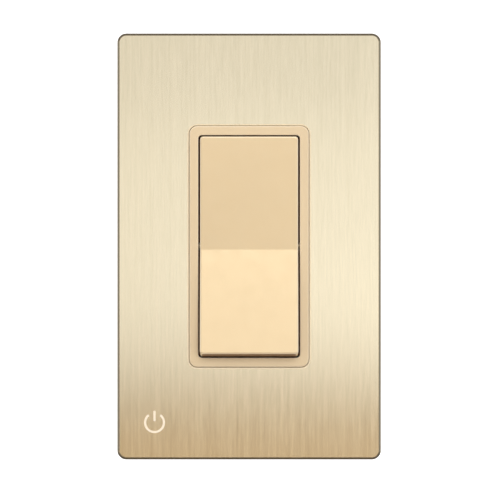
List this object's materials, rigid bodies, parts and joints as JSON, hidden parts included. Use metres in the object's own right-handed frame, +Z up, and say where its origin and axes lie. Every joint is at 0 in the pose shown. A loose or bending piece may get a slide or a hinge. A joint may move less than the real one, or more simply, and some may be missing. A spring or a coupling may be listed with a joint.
{
  "type": "rocker wall switch",
  "caption": "Single-pole paddle rocker wall switch with a brushed screwless wall plate, steel strap, rear housing, rocking contact arm and screw terminals.",
  "frame": {"origin": "centre of the wall plate's rear rim, on the wall surface", "axes": "+Z up, +X to the right seen from the room, +Y into the wall; the paddle faces -Y"},
  "size_m": [0.0728, 0.0363, 0.1178],
  "materials": {
    "champagne_plastic": "satin moulded",
    "brushed_champagne": "brushed, anodised champagne",
    "dark_plastic": "fine moulded texture",
    "zinc_screw": "zinc plated",
    "galvanised_steel": "galvanised sheet",
    "fibre": "vulcanised fibre",
    "gold_plastic": "satin metallic",
    "steel_rivet": "plain",
    "housing_plastic": "fine moulded texture",
    "nylon": "natural nylon",
    "spring_steel": "drawn wire",
    "copper": "rolled copper alloy",
    "silver": "silver contact",
    "terminal_brass": "stamped",
    "brass_screw": "brass plated",
    "green_metal": "green dyed plating"
  },
  "bodies": {
    "switch_body": {"adapter_plate": "dark_plastic", "adapter_screws": "zinc_screw", "mounting_strap": "galvanised_steel", "box_screws": "zinc_screw", "screw_retainers": "fibre", "bezel_frame": "gold_plastic", "housing_rivets": "steel_rivet", "rear_housing": "housing_plastic", "insulator_sheet": "fibre", "fixed_contact": "silver", "line_terminal": "terminal_brass", "load_terminal": "terminal_brass"},
    "cover": {"cover_shell": "champagne_plastic", "brushed_face": "brushed_champagne"},
    "rocker": {"rocker_paddle": "gold_plastic", "actuator_stem": "nylon", "plunger_spring": "spring_steel"},
    "plunger": {"plunger": "nylon"},
    "contact_arm": {"contact_arm": "copper", "moving_contact": "silver"},
    "line_clamp": {"line_clamp_plate": "terminal_brass"},
    "line_screw": {"line_screw": "brass_screw"},
    "load_clamp": {"load_clamp_plate": "terminal_brass"},
    "load_screw": {"load_screw": "brass_screw"},
    "ground_washer": {"ground_washer": "green_metal"},
    "ground_screw": {"ground_screw": "green_metal"}
  },
  "joints": [
    {"name": "rocker_tilt", "type": "hinge", "parent": "switch_body", "child": "rocker", "pos_m": [0, -0.0026, 0], "axis": [1, 0, 0], "range_deg": [0, 8]},
    {"name": "plunger_press", "type": "slide", "parent": "rocker", "child": "plunger", "axis": [0, -0.9976, 0.0698], "range_m": [0, 0.0008], "stiffness_N_per_m": 300, "springref_m": -0.002, "deforming": ["plunger_spring"]},
    {"name": "arm_rock", "type": "hinge", "parent": "switch_body", "child": "contact_arm", "pos_m": [0, 0.0101, 0], "axis": [1, 0, 0], "range_deg": [-16, 0]},
    {"name": "cover_pull", "type": "slide", "parent": "switch_body", "child": "cover", "axis": [0, -1, 0], "range_m": [0, 0.03]},
    {"name": "line_press", "type": "slide", "parent": "switch_body", "child": "line_clamp", "axis": [-1, 0, 0], "range_m": [0, 0.0022]},
    {"name": "line_turn", "type": "hinge", "parent": "line_clamp", "child": "line_screw", "pos_m": [0, 0.0119, 0.015], "axis": [-1, 0, 0], "range_deg": [0, 998]},
    {"name": "load_press", "type": "slide", "parent": "switch_body", "child": "load_clamp", "axis": [-1, 0, 0], "range_m": [0, 0.0022]},
    {"name": "load_turn", "type": "hinge", "parent": "load_clamp", "child": "load_screw", "pos_m": [0, 0.0119, -0.015], "axis": [-1, 0, 0], "range_deg": [0, 998]},
    {"name": "ground_press", "type": "slide", "parent": "switch_body", "child": "ground_washer", "axis": [1, 0, 0], "range_m": [0, 0.0022]},
    {"name": "ground_turn", "type": "hinge", "parent": "ground_washer", "child": "ground_screw", "pos_m": [0, 0.0053, -0.0432], "axis": [1, 0, 0], "range_deg": [0, 998]}
  ],
  "couplings": [
    {"joint": "arm_rock", "follows": "rocker_tilt", "ratio": -2},
    {"joint": "line_turn", "follows": "line_press", "rad_per_m": 7913.3},
    {"joint": "load_turn", "follows": "load_press", "rad_per_m": 7913.3},
    {"joint": "ground_turn", "follows": "ground_press", "rad_per_m": 7913.3}
  ]
}
